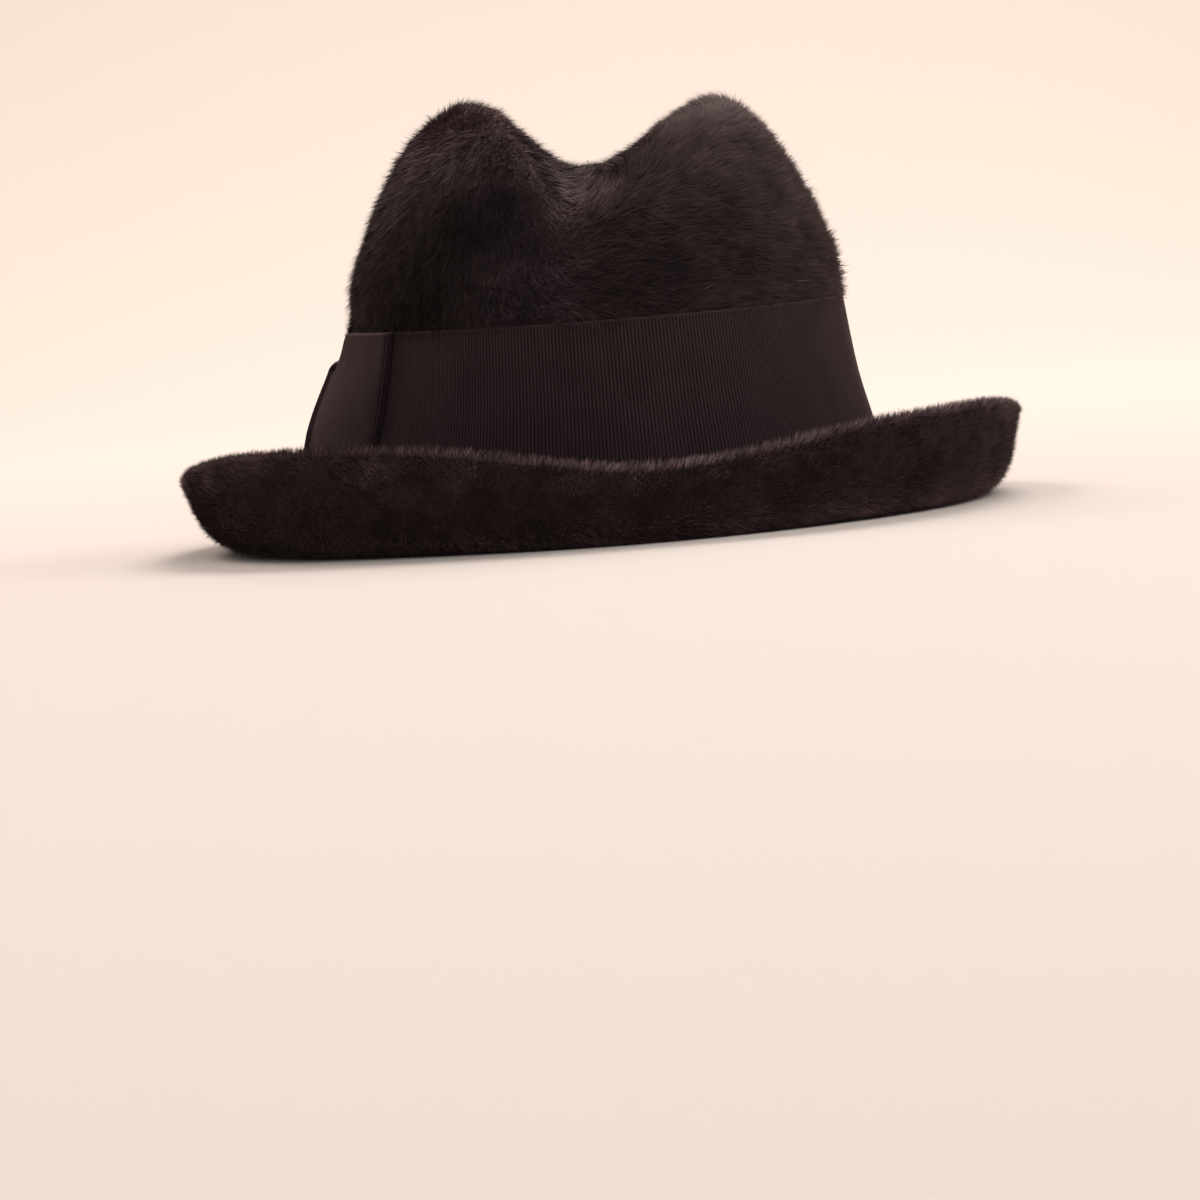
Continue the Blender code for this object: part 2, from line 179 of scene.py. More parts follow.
def creaseDrop(points):
    along = points[..., 1] / (0.5 * hat["footLength"])
    aside = points[..., 0] / hat["creaseWidth"] - creaseCentre(along)
    left = aside < 0
    half = np.where(left, creaseLeft(along), creaseRight(along))
    steep = np.where(left, troughLeft(along), hat["troughRight"])
    drop = hat["creaseDepth"] * np.maximum(creaseDeep(along), 0.0) * soft(aside / half)
    share = np.maximum(0.0, 1.0 - (aside / steep) ** 2)
    trough = np.where(left, share ** hat["crestSharp"], share ** 2)
    drop += hat["troughDepth"] * np.maximum(troughDeep(along), 0.0) * trough
    return np.where(np.abs(along) < creaseRows[-1][0], drop, 0.0)


def crownPoint(turn, level):
    points = openCrown(turn, level)
    inward = unit(-points * (1.0, 1.0, 0.0))
    pressed = np.zeros(points.shape[:-1])
    for dentTurn, dentUp, deep, reach in dentRows:
        centre = openCrown(np.array(dentTurn), levelAt(hat["crownHeight"] * dentUp))
        pressed += deep * soft(np.linalg.norm(points - centre, axis=-1) / reach)
    moved = points + inward * pressed[..., None]
    moved[..., 2] -= creaseDrop(points)
    return moved


def brimPoint(turn, step):
    shares = ((1 - step) ** 2, 2 * bendTight(turn) * step * (1 - step), step ** 2)
    whole = sum(shares)
    out = (bendOut(turn) * shares[1] + edgeOut(turn) * shares[2]) * hat["brimReach"] / whole
    up = (bendUp(turn) * shares[1] + edgeUp(turn) * shares[2]) * hat["brimHeight"] / whole
    angle = np.radians(turn)
    x = (0.5 * hat["footWidth"] + out) * np.sin(angle)
    y = -(0.5 * hat["footLength"] + out) * np.cos(angle)
    return np.stack((x, y, up), -1)


def bandPoint(turn, height, out):
    points = openCrown(turn, levelAt(height))
    angle = np.radians(turn)
    outward = np.stack((np.sin(angle) / hat["footWidth"], -np.cos(angle) / hat["footLength"],
                        0.0 * angle), -1)
    return points + unit(outward) * np.asarray(out)[..., None]


standMatrix = Matrix.Translation(hat["place"]) @ Matrix.Rotation(hat["lean"], 4, "X")
standTurn = np.array(standMatrix.to_3x3())


def onFloor(points, least=0.0):
    # hat coordinates to the part's frame; what would lie lower than least is pressed flat there
    moved = points @ standTurn.T + np.array(hat["place"])
    moved[..., 2] = np.maximum(moved[..., 2], least)
    return moved


def gridMesh(name, points, closed, pole=None):
    # a sheet of quads from rows of points; closed joins each row's ends
    rows, stations = points.shape[:2]
    index = np.arange(rows * stations).reshape(rows, stations)
    right = np.roll(index, -1, 1)
    span = slice(None) if closed else slice(0, stations - 1)
    quads = np.stack((index[:-1, span], right[:-1, span], right[1:, span], index[1:, span]), -1)
    faces = quads.reshape(-1, 4).tolist()
    flat = points.reshape(-1, 3).tolist()
    if pole is not None:
        flat.append(list(pole))
        faces += [[int(a), int(b), rows * stations] for a, b in zip(index[-1], right[-1])]
    mesh = bpy.data.meshes.new(name)
    mesh.from_pydata(flat, [], faces)
    mesh.shade_smooth()
    return mesh


def addPiece(mesh, material, nodes=()):
    piece = bpy.data.objects.new(mesh.name, mesh)
    mesh.materials.append(material)
    scene.collection.objects.link(piece)
    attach(piece, "root")
    if nodes:
        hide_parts(*nodes)
    return piece


def addWall(piece, thickness):
    wall = piece.modifiers.new("wall", "SOLIDIFY")
    wall.thickness = thickness
    wall.offset = -1.0
    wall.use_even_offset = True
    wall.use_quality_normals = True


def newGroup(name, inputs, outputs):
    group = bpy.data.node_groups.new(name, "ShaderNodeTree")
    for label, value in inputs:
        kind = "NodeSocketFloat" if isinstance(value, float) else "NodeSocketColor"
        socket = group.interface.new_socket(name=label, in_out="INPUT", socket_type=kind)
        socket.default_value = value
    for label, kind in outputs:
        group.interface.new_socket(name=label, in_out="OUTPUT", socket_type=kind)
    return group, group.nodes.new("NodeGroupInput"), group.nodes.new("NodeGroupOutput")


sheenLook = {"roughness": 0.4, "tint": (1.0, 0.66, 0.62, 1.0)}


def newMaterial(name, colour, roughness, sheen=0.0, specular=0.5):
    material = bpy.data.materials.new(name)
    material.use_nodes = True
    shader = material.node_tree.nodes["Principled BSDF"]
    shader.inputs["Base Color"].default_value = colour
    shader.inputs["Roughness"].default_value = roughness
    shader.inputs["Specular IOR Level"].default_value = specular
    shader.inputs["Sheen Weight"].default_value = sheen
    shader.inputs["Sheen Roughness"].default_value = sheenLook["roughness"]
    shader.inputs["Sheen Tint"].default_value = sheenLook["tint"]
    material.diffuse_color = colour
    return material, material.node_tree, shader


def addMath(tree, operation, first, second):
    # a Math node; each operand is a socket or a plain number
    node = tree.nodes.new("ShaderNodeMath")
    node.operation = operation
    for socket, value in zip(node.inputs, (first, second)):
        if isinstance(value, float):
            socket.default_value = value
        else:
            tree.links.new(value, socket)
    return node.outputs["Value"]


def addNoise(tree, scale, detail):
    place = tree.nodes.new("ShaderNodeTexCoord")
    noise = tree.nodes.new("ShaderNodeTexNoise")
    noise.inputs["Detail"].default_value = detail
    tree.links.new(place.outputs["Object"], noise.inputs["Vector"])
    if isinstance(scale, float):
        noise.inputs["Scale"].default_value = scale
    else:
        tree.links.new(scale, noise.inputs["Scale"])
    return noise.outputs["Fac"]


def addPatches(tree, scale, detail, depth):
    # about 1, and more or less in soft patches
    patch = addMath(tree, "SUBTRACT", addNoise(tree, scale, detail), 0.5)
    return addMath(tree, "ADD", addMath(tree, "MULTIPLY", patch, depth), 1.0)


def addMix(tree, factor, first, second, blend="MIX"):
    node = tree.nodes.new("ShaderNodeMix")
    node.data_type = "RGBA"
    node.blend_type = blend
    for label, value in (("Factor", factor), ("A", first), ("B", second)):
        if isinstance(value, (float, tuple)):
            node.inputs[label].default_value = value
        else:
            tree.links.new(value, node.inputs[label])
    return node.outputs["Result"]


def addAttribute(tree, name):
    node = tree.nodes.new("ShaderNodeAttribute")
    node.attribute_name = name
    split = tree.nodes.new("ShaderNodeSeparateColor")
    tree.links.new(node.outputs["Color"], split.inputs["Color"])
    return split.outputs


def addBump(tree, shader, height, strength, distance):
    bump = tree.nodes.new("ShaderNodeBump")
    bump.inputs["Strength"].default_value = strength
    bump.inputs["Distance"].default_value = distance
    tree.links.new(height, bump.inputs["Height"])
    tree.links.new(bump.outputs["Normal"], shader.inputs["Normal"])


felt = {
    "root": (0.0078, 0.0055, 0.0057, 1.0),
    "tip": (0.044, 0.0290, 0.0302, 1.0),
    "under": (0.016, 0.0095, 0.009, 1.0),
    "roughness": 0.55,
    "sheen": 0.12,
    "specular": 0.02,
    "underRoughness": 0.95,
    "underSheen": 0.1,
    "grain": 1400.0,
    "grainLift": 0.6,
    "grainHeight": 0.0004,
    "grainDetail": 3.0,
    "patch": 1.20,            # how much lighter and darker patches differ
    "patchScale": 70.0,
    "patchDetail": 2.0,
}


def fibreTintGroup():
    # the colour of a fibre from its root to its tip, in soft lighter and darker patches
    tree, inner, outer = newGroup(
        "fibreTint",
        (("Share", 0.5), ("Gain", 1.0), ("Blue", 1.0), ("Patch", 0.3), ("Scale", 60.0),
         ("Root", (0, 0, 0, 1)), ("Tip", (1, 1, 1, 1))),
        (("Color", "NodeSocketColor"),))
    given = inner.outputs
    patch = addPatches(tree, given["Scale"], felt["patchDetail"], given["Patch"])
    gain = addMath(tree, "MULTIPLY", given["Gain"], patch)
    combine = tree.nodes.new("ShaderNodeCombineColor")
    tree.links.new(gain, combine.inputs["Red"])
    tree.links.new(gain, combine.inputs["Green"])
    tree.links.new(addMath(tree, "MULTIPLY", gain, given["Blue"]), combine.inputs["Blue"])
    along = addMix(tree, given["Share"], given["Root"], given["Tip"])
    tree.links.new(addMix(tree, 1.0, along, combine.outputs["Color"], "MULTIPLY"), outer.inputs["Color"])
    return tree


def addFibreTint(tree, shader, group, share, gain, blue):
    tint = tree.nodes.new("ShaderNodeGroup")
    tint.node_tree = group
    tint.inputs["Patch"].default_value = felt["patch"]
    tint.inputs["Scale"].default_value = felt["patchScale"]
    tint.inputs["Root"].default_value = felt["root"]
    tint.inputs["Tip"].default_value = felt["tip"]
    for label, value in (("Share", share), ("Gain", gain), ("Blue", blue)):
        if value is not None:
            tree.links.new(value, tint.inputs[label])
    tree.links.new(tint.outputs["Color"], shader.inputs["Base Color"])


def feltMaterial(group):
    material, tree, shader = newMaterial("furFelt", felt["under"], felt["underRoughness"],
                                         felt["underSheen"], felt["specular"])
    grain = addNoise(tree, felt["grain"], felt["grainDetail"])
    addFibreTint(tree, shader, group, grain, None, None)
    addBump(tree, shader, grain, felt["grainLift"], felt["grainHeight"])
    return material


def napMaterial(group):
    material, tree, shader = newMaterial("nap", felt["tip"], felt["roughness"], felt["sheen"],
                                         felt["specular"])
    tone = addAttribute(tree, "napTone")
    addFibreTint(tree, shader, group, tone["Green"], tone["Red"], tone["Blue"])
    return material


ribbon = {
    "width": 0.0478,
    "thick": 0.0010,
    "seat": 0.0010,           # its lower edge above the crown's foot
    "ribPitch": 0.0011,
    "ribHeight": 0.00020,
    "ribSteps": 4,
    "selvedge": 0.0009,
    "plainShare": 0.4,        # share of the selvedge without ribs
    "bead": 0.00012,          # the selvedge's raised line
    # rib crests' colour, and the valleys' colour painted far darker as painted shade in the grooves
    "crest": (0.038, 0.0230, 0.0262, 1.0),
    "valley": (0.0050, 0.0032, 0.0038, 1.0),
    "mottle": 0.5,
    "mottleScale": 90.0,
    "mottleDetail": 3.0,
    "slubScale": 1500.0,
    "slubDetail": 2.0,
    "threads": 170.0,         # cross threads over the ribbon's width
    "threadShare": 0.12,      # of the threads beside the slubs
    "fineShare": 0.45,        # of threads and slubs beside the ribs
    "valleyRough": 0.78,
    "crestSmooth": 0.2,       # how much less rough a rib's crest is
    "roughness": 0.62,
    "sheen": 0.12,
    "specular": 0.03,
    "weaveLift": 0.5,
    "weaveHeight": 0.00015,
    "edgeSteps": (0.0, 0.0003, 0.0007, 0.0011, 0.0020),   # rows of points from either edge
    "faceRows": 9,
    "backRows": 7,            # enough to follow the wall, which is hollow in profile
    "sharpAngle": 50.0,
}
ribbon["face"] = hat["gap"] + ribbon["thick"]


def grosgrainWeaveGroup():
    # ribs with fine threads across them, uneven as woven cloth is, with painted shade in the valleys
    # between ribs
    tree, inner, outer = newGroup(
        "grosgrainWeave",
        (("Rib", 1.0), ("Across", 0.5), ("Threads", 160.0), ("Mottle", 0.3), ("Slub Scale", 1500.0),
         ("Mottle Scale", 90.0), ("Valley", (0, 0, 0, 1)), ("Crest", (1, 1, 1, 1))),
        (("Color", "NodeSocketColor"), ("Height", "NodeSocketFloat"), ("Rough", "NodeSocketFloat")))
    given = inner.outputs
    turns = addMath(tree, "MULTIPLY", given["Across"], given["Threads"])
    thread = addMath(tree, "SINE", addMath(tree, "MULTIPLY", turns, 2.0 * math.pi), 0.0)
    slub = addNoise(tree, given["Slub Scale"], ribbon["slubDetail"])
    thread = addMath(tree, "MULTIPLY", thread, ribbon["threadShare"])
    fine = addMath(tree, "ADD", thread, addMath(tree, "SUBTRACT", slub, 0.5))
    share = addMath(tree, "ADD", given["Rib"], addMath(tree, "MULTIPLY", fine, ribbon["fineShare"]))
    cloth = addMix(tree, share, given["Valley"], given["Crest"])
    patch = addPatches(tree, given["Mottle Scale"], ribbon["mottleDetail"], given["Mottle"])
    combine = tree.nodes.new("ShaderNodeCombineColor")
    for label in ("Red", "Green", "Blue"):
        tree.links.new(patch, combine.inputs[label])
    tree.links.new(addMix(tree, 1.0, cloth, combine.outputs["Color"], "MULTIPLY"), outer.inputs["Color"])
    tree.links.new(fine, outer.inputs["Height"])
    fall = addMath(tree, "MULTIPLY", share, ribbon["crestSmooth"])
    tree.links.new(addMath(tree, "SUBTRACT", ribbon["valleyRough"], fall), outer.inputs["Rough"])
    return tree


def ribbonMaterial():
    material, tree, shader = newMaterial("grosgrain", ribbon["crest"], ribbon["roughness"],
                                         ribbon["sheen"], ribbon["specular"])
    cloth = addAttribute(tree, "cloth")
    weave = tree.nodes.new("ShaderNodeGroup")
    weave.node_tree = grosgrainWeaveGroup()
    for label, key in (("Threads", "threads"), ("Mottle", "mottle"), ("Slub Scale", "slubScale"),
                       ("Mottle Scale", "mottleScale"), ("Valley", "valley"), ("Crest", "crest")):
        weave.inputs[label].default_value = ribbon[key]
    tree.links.new(cloth["Red"], weave.inputs["Rib"])
    tree.links.new(cloth["Green"], weave.inputs["Across"])
    tree.links.new(weave.outputs["Color"], shader.inputs["Base Color"])
    tree.links.new(weave.outputs["Rough"], shader.inputs["Roughness"])
    addBump(tree, shader, weave.outputs["Height"], ribbon["weaveLift"], ribbon["weaveHeight"])
    return material


fibreTint = fibreTintGroup()
furFelt = feltMaterial(fibreTint)
napLook = napMaterial(fibreTint)
grosgrain = ribbonMaterial()
print("materials made")

feltMesh = {"around": 240, "brimSteps": 18, "wallSteps": 12, "topSteps": 58}


def feltRows(around, brimSteps, wallSteps, topSteps):
    turns = np.arange(around) * 360.0 / around
    rows = [brimPoint(turns, i / brimSteps) for i in range(brimSteps, 0, -1)]
    rows += [crownPoint(turns, hat["wallLevel"] * i / wallSteps + 0 * turns) for i in range(wallSteps)]
    top = 1.0 - hat["wallLevel"]
    rows += [crownPoint(turns, hat["wallLevel"] + top * i / topSteps + 0 * turns)
             for i in range(topSteps)]
    return np.stack(rows)


def buildFelt():
    rows = feltRows(**feltMesh)
    pole = onFloor(crownPoint(np.array([0.0]), np.array([1.0])))[0]
    mesh = gridMesh("feltHat", onFloor(rows), True, pole)
    piece = addPiece(mesh, furFelt, ("felt_body",))
    addWall(piece, hat["feltThick"])
    # the wall is made part of the mesh, so that its underside is pressed flat on the floor too
    whole = bpy.data.meshes.new_from_object(piece.evaluated_get(bpy.context.evaluated_depsgraph_get()))
    for vertex in whole.vertices:
        vertex.co.z = max(vertex.co.z, 0.0)
    piece.modifiers.clear()
    piece.data = whole
    whole.name = "feltHat"


buildFelt()
print("felt built")

stride = np.linspace(0.0, 360.0, 7201)       # turns, a twentieth of a degree apart
midBand = ribbon["seat"] + 0.5 * ribbon["width"]


def arcTable(out):
    path = bandPoint(stride, midBand + 0 * stride, out + 0 * stride)
    lengths = np.linalg.norm(np.diff(path, axis=0), axis=1)
    return np.concatenate(([0.0], np.cumsum(lengths)))


bandArc = arcTable(ribbon["face"])
bandLength = bandArc[-1]


def turnAt(arc):
    return np.interp(np.asarray(arc) % bandLength, bandArc, stride)


def ribMask(arc, fromEdge):
    # 1 on a rib and on the selvedge, 0 in the valley between two ribs
    wave = np.abs(np.cos(math.pi * arc / ribbon["ribPitch"]))
    plain = ribbon["plainShare"] * ribbon["selvedge"]
    return 1.0 - (1.0 - wave) * smooth(plain, ribbon["selvedge"], fromEdge)


def ribRise(mask, fromEdge):
    bead = ribbon["bead"] * soft(min(1.0, abs(fromEdge / ribbon["selvedge"] - 0.5) * 2.0))
    return ribbon["ribHeight"] * (mask - 1.0) + bead


def markCloth(mesh, ribs, across):
    # what the weave reads: the rib under each vertex and its place across the ribbon
    colour = np.ones((len(mesh.vertices), 4), np.float32)
    colour[:, 0] = np.ravel(ribs)
    colour[:, 1] = np.ravel(across)
    cloth = mesh.attributes.new("cloth", "FLOAT_COLOR", "POINT")
    cloth.data.foreach_set("color", colour.ravel())


def edgeRows(width, steps):
    # heights across a ribbon, closer together at its two edges
    near = list(ribbon["edgeSteps"])
    middle = np.linspace(near[-1], width - near[-1], steps)[1:-1]
    return np.array(near + list(middle) + [width - n for n in reversed(near)])


def buildBand():
    ribs = round(bandLength / ribbon["ribPitch"])
    stations = ribs * ribbon["ribSteps"]
    arcs = np.arange(stations) * bandLength / stations
    phase = arcs * ribs / bandLength * ribbon["ribPitch"]
    turns = turnAt(arcs)
    rows, masks, across = [], [], []
    for height in edgeRows(ribbon["width"], ribbon["faceRows"]):
        fromEdge = min(height, ribbon["width"] - height)
        mask = ribMask(phase, fromEdge)
        out = ribbon["face"] + ribRise(mask, fromEdge)
        rows.append(bandPoint(turns, ribbon["seat"] + height + 0 * turns, out))
        masks.append(mask)
        across.append(height / ribbon["width"] + 0 * mask)
    for height in np.linspace(ribbon["width"], 0.0, ribbon["backRows"]):
        rows.append(bandPoint(turns, ribbon["seat"] + height + 0 * turns, hat["gap"] + 0 * turns))
        masks.append(1.0 + 0 * turns)
        across.append(height / ribbon["width"] + 0 * turns)
    for column in (rows, masks, across):
        column.append(column[0])
    mesh = gridMesh("ribbonBand", onFloor(np.stack(rows)), True)
    mesh.set_sharp_from_angle(angle=math.radians(ribbon["sharpAngle"]))
    markCloth(mesh, masks, across)
    addPiece(mesh, grosgrain, ("ribbon_band",))


bow = {
    "turn": 265.5,
    "rear": 0.0570,
    "front": 0.0480,
    "lean": 0.0095,
    "swell": 0.0065,
    "belly": 0.32,
    "flat": 0.90,
    "round": 0.8,
    "fill": 0.0005,
    "gatherReach": 0.016,
    "foldRadius": 0.0016,
    "knotWidth": 0.017,
    "knotHeight": 0.037,
    "knotDrop": 0.0040,
    "knotCorner": 0.0022,
    "clothShown": 0.0007,       # thickness that shows at the cut edges
    "knotThick": 0.0014,        # the knot's two layers, down to the loops inside
    "rearLift": 0.009,          # how far the gathers raise the wing's foot at the knot
    "frontLift": 0.0015,
    "foldSteps": 14,
    "loopRows": 16,
    "knotRows": 8,
    "cornerSteps": 8,
    "backSteps": 8,             # along the knot's hidden face
}
bowStart = np.interp(bow["turn"], stride, bandArc)


def belly(height):
    share = (height - ribbon["seat"]) / ribbon["width"]
    return soft(np.maximum(share - bow["belly"], 0.0) / (bow["flat"] - bow["belly"]))


def buildLoop(name, node, reach, gatherLift):
    # from inside the knot along the ribbon, round the fold and back over the outside
    sign = 1.0 if reach > 0 else -1.0
    length = abs(reach)
    gap, thick = hat["gap"], ribbon["thick"]
    inKnot = 0.5 * bow["knotWidth"] + gap
    lowIn = thick + 2 * gap
    highIn = lowIn + 2 * thick + bow["fill"]
    foot, top = ribbon["seat"], ribbon["seat"] + ribbon["width"]
    knotMiddle = 0.5 * (foot + top) - bow["knotDrop"]
    inside = 0.5 * bow["knotHeight"] - thick - bow["knotCorner"]
    footIn, topIn = knotMiddle - inside + gatherLift, knotMiddle + inside
    radius = bow["foldRadius"]
    free = length - radius - inKnot
    steps = int(free / ribbon["ribPitch"] * ribbon["ribSteps"])
    share = np.linspace(0.0, 1.0, steps)
    gathered = soft(share * free / bow["gatherReach"])
    low = gap + (lowIn - gap) * gathered
    high = (gap + 2 * radius) * (1 - gathered) + highIn * gathered
    angle = np.linspace(0.0, math.pi, bow["foldSteps"])[1:-1]
    away = np.concatenate(([1.5 * gap], inKnot + share * free,
                           length - radius + radius * np.sin(angle),
                           (inKnot + share * free)[::-1], [1.5 * gap]))
    out = np.concatenate(([lowIn], low, gap + radius - radius * np.cos(angle), high[::-1], [highIn]))
    gather = np.concatenate(([1.0], gathered, 0 * angle, gathered[::-1], [1.0]))
    swell = np.concatenate(([0.0], 0 * share, 0 * angle, ((1 - share) ** bow["round"])[::-1], [1.0]))
    arc = np.concatenate(([0.0], np.cumsum(np.hypot(np.diff(away), np.diff(out)))))
    outerLayer = np.concatenate(([0.0], 0 * share, 1 + 0 * angle, 1 + 0 * share, [1.0]))
    rows, masks, across = [], [], []
    for height in edgeRows(ribbon["width"], bow["loopRows"]):
        up = height / ribbon["width"]
        level = (foot + (footIn - foot) * gather) * (1 - up) + (top + (topIn - top) * gather) * up
        lean = bow["lean"] * (up - 0.5) * away / length
        fromEdge = min(height, ribbon["width"] - height)
        mask = ribMask(arc, fromEdge)
        rise = ribRise(mask, fromEdge) * outerLayer
        turn = turnAt(bowStart + sign * (away + lean))
        reachOut = ribbon["face"] + out + bow["swell"] * swell * belly(level) + rise
        rows.append(bandPoint(turn, level, reachOut))
        masks.append(mask)
        across.append(up + 0 * mask)
    if sign > 0:
        for column in (rows, masks, across):
            column.reverse()
    mesh = gridMesh(name, onFloor(np.stack(rows)), False)
    markCloth(mesh, masks, across)
    addWall(addPiece(mesh, grosgrain, (node,)), bow["clothShown"])


def buildKnot():
    gap, thick, corner = hat["gap"], ribbon["thick"], bow["knotCorner"]
    middle = ribbon["seat"] + 0.5 * ribbon["width"] - bow["knotDrop"]
    near, far = gap, 4 * thick + 3 * gap + bow["fill"]
    straight = 0.5 * bow["knotHeight"] - corner
    outline = []
    for quarter in range(4):
        above = 1 if quarter in (0, 3) else -1
        outside = 1 if quarter in (0, 1) else -1
        depth = far - corner if outside > 0 else near + corner
        for i in range(bow["cornerSteps"] + 1):
            angle = 0.5 * math.pi * (1 - quarter - i / bow["cornerSteps"])
            outline.append((above * straight + corner * math.sin(angle), depth + corner * math.cos(angle)))
        if quarter in (0, 2):
            face = far if quarter == 0 else near
            shown = int(2 * straight / ribbon["ribPitch"] * ribbon["ribSteps"])
            steps = shown if quarter == 0 else bow["backSteps"]
            for i in range(1, steps):
                outline.append((above * straight * (1.0 - 2.0 * i / steps), face))
    outline = np.array(outline)
    following = np.roll(outline, -1, 0)
    arc = np.concatenate(([0.0], np.cumsum(np.linalg.norm(following - outline, axis=1))[:-1]))
    slant = unit(following - np.roll(outline, 1, 0))
    normal = np.stack((-slant[:, 1], slant[:, 0]), -1) * -1.0
    rows, masks, across = [], [], []
    for aside in edgeRows(bow["knotWidth"], bow["knotRows"]):
        fromEdge = min(aside, bow["knotWidth"] - aside)
        mask = ribMask(arc, fromEdge)
        rise = ribRise(mask, fromEdge)[:, None] * normal
        height, out = (outline + rise).T
        swell = bow["swell"] * belly(middle + height)
        out = out + np.where(outline[:, 1] > 0.5 * (near + far), swell, 0.0)
        turn = turnAt(bowStart + aside - 0.5 * bow["knotWidth"]) + 0 * height
        rows.append(bandPoint(turn, middle + height, ribbon["face"] + out))
        masks.append(mask)
        across.append(aside / bow["knotWidth"] + 0 * mask)
    mesh = gridMesh("bowKnot", onFloor(np.stack(rows)), True)
    markCloth(mesh, masks, across)
    addWall(addPiece(mesh, grosgrain, ("bow_knot",)), bow["knotThick"])


buildBand()
buildLoop("bowWing", "bow_wing", bow["rear"], bow["rearLift"])
buildLoop("bowLoop", "bow_loop", -bow["front"], bow["frontLift"])
buildKnot()
print("ribbon and bow built")

nap = {
    "seed": 41,
    "width": 0.00027,
    "sink": 0.0007,
    "clumps": 0.02,          # clumps for each strand
    "clumpPull": 0.35,
    "clumpReach": 0.004,
    "clumpGrip": 1.5,        # reaches within which a clump still pulls
    "faceShare": 0.50,       # how far a strand's own face sets its shading, beside the felt's
    "rootShare": 0.30,       # where a root stands between the root's colour and the tip's
    "roll": 36.0,
    "mostRoll": 75.0,
    "lengths": (0.6, 0.7),   # least share of the length, and what chance adds
    "widths": (0.75, 0.5),   # the same for the width
    "raiseLimits": (3.0, 85.0),
    "toneLimits": (0.35, 2.0),
    "blueSpread": 0.05,
    "blueLimits": (0.8, 1.2),
    "floorGap": 0.0003,      # least height of a hair above the floor
    # spreads from strand to strand, from clump to clump and in slow waves
    "twist": (12.0, 8.0, 10.0),
    "raise": (11.0, 5.0, 4.0),
    "toneSpread": (0.31, 0.13, 0.12),
    # longest and shortest of the slow waves
    "twistWaves": (0.060, 0.014),
    "raiseWaves": (0.030, 0.008),
    "toneWaves": (0.040, 0.010),
    "tuftWaves": (0.012, 0.006),
    "rimWaves": (0.030, 0.006),
    "glints": 0.006,         # share of pale single hairs
    "highlightGlints": 0.09,     # the same in the crown's painted highlight
    "glintGain": 2.6,
    "around": 480,           # stations of the sheets that the roots are spread over
    "crownRows": 150,
    "brimRows": 60,
    # strands, their length and their lift off the felt in degrees
    "crown": {"count": 376000, "length": 0.0060, "lift": 19.0},
    "brimTop": {"count": 108000, "length": 0.0040, "lift": 36.0},
    "brimUnder": {"count": 168000, "length": 0.0038, "lift": 42.0},
    "brimEdge": {"count": 60000, "length": 0.0038, "lift": 60.0},
    "rimStrip": 0.0012,
    "overRibbon": (346.0, 15.0, 0.0045),   # turn, half width and reach of the tufts over the ribbon
    "tufts": (0.45, 0.9),    # their usual share of that reach, and how it varies
    "rimHighlightGains": (3.4, 2.2),  # painted highlight of the raw edge, on the left and on the right
    "rimSpread": 0.7,        # of the fringe's brightness from hair to hair
    "rimBlue": 1.02,
    "floorLightTone": 3.2,        # painted light on the brim's underside just above the floor
    "crestLength": 0.6,      # of the nap along the crest of the crease
    "topLightTone": 1.5,          # painted light where the crown faces up
    "mostLightTone": 4.0,         # the most painted light, where several of the crown's painted light places meet
    "underShadeTone": 0.85,        # painted shade on the brim's underside below its rim
    "footLightTone": 1.9,         # painted light on the brim's underside close to the crown
}

napTurns = (np.arange(nap["around"]) * 360.0 / nap["around"])[None, :]

# how the nap lies over the crown's top; a pair is where a change begins and ends
topLay = {
    "below": 0.0003,             # how far under the ribbon's edge the nap begins
    "level": 0.995,              # where it ends, short of the pole
    "levels": (0.60, 0.84),
    "parting": (-0.001, 0.007),  # across the hat
    "toRight": (0.8, -0.25, 0.0),
    "toLeft": (-0.8, -0.25, -0.3),
    # where the painted top light begins and ends, by how much the felt faces up
    "facingUp": (0.25, 0.85),
    "crestReach": 3.0,           # of the shorter nap, in reaches of the crest's painted highlight
    "seenShare": 0.5,            # of a hair, from its root to what is seen of it
}

# the same over the brim, in shares of the way from the crown to the edge
brimLay = {
    "foot": 0.04,                # where the nap begins
    "turns": (14.0, 62.0),       # degrees outward near the crown, and what is added at the edge
    "turning": (0.60, 0.98),
    # where the rim's painted highlight and its raised hairs begin and end
    "rim": (0.91, 1.02),
    "rimWaver": 0.04,
    "rimLift": 14.0,
    "rimShorter": 0.15,
    "shortening": (0.7, 1.0),
    "darkening": (0.30, 0.72),
    "floorReach": 0.012,         # metres above the floor that this painted light reaches
    "fanSteps": 9,
    "fanOut": 0.3,
    "stripPower": 4,
    "edgeLay": (0.4, 0.25),      # along the rim, before and after it is laid flat
    "edgeFacing": (0.20, 0.95),
    "rimLimits": (0.25, 2.2),
}

# painted light and shade on the crown's nap, in lighter and darker places: turn, height share, reach,
# gain, blue share
paintedLightRows = (
    (341, 0.53, 0.026, 1.00, 1.12),
    (308, 0.62, 0.046, 0.33, 1.05),
    (303, 0.40, 0.032, 0.42, 1.0),
    (332, 0.74, 0.022, 0.85, 1.08),
    (13, 0.53, 0.030, 0.78, 1.05),
    (350, 0.96, 0.024, 2.8, 1.0),
    (302, 0.93, 0.046, 3.0, 1.0),
)
# the sharp crest on the left of the crease, painted as a highlight, and the wall right of it, painted in
# shade: turn, height share
crestRows = ((316, 0.995), (325, 0.977), (331.5, 0.929), (337, 0.887), (343.5, 0.854))
wallRows = ((318, 1.024), (331, 0.996), (338, 0.958), (344, 0.915))
paintedLineRows = (
    # painted highlight or shade along a line: line, reach, gain, blue share
    (crestRows, 0.0042, 4.5, 1.0),
    (wallRows, 0.0070, 0.34, 1.0),
)
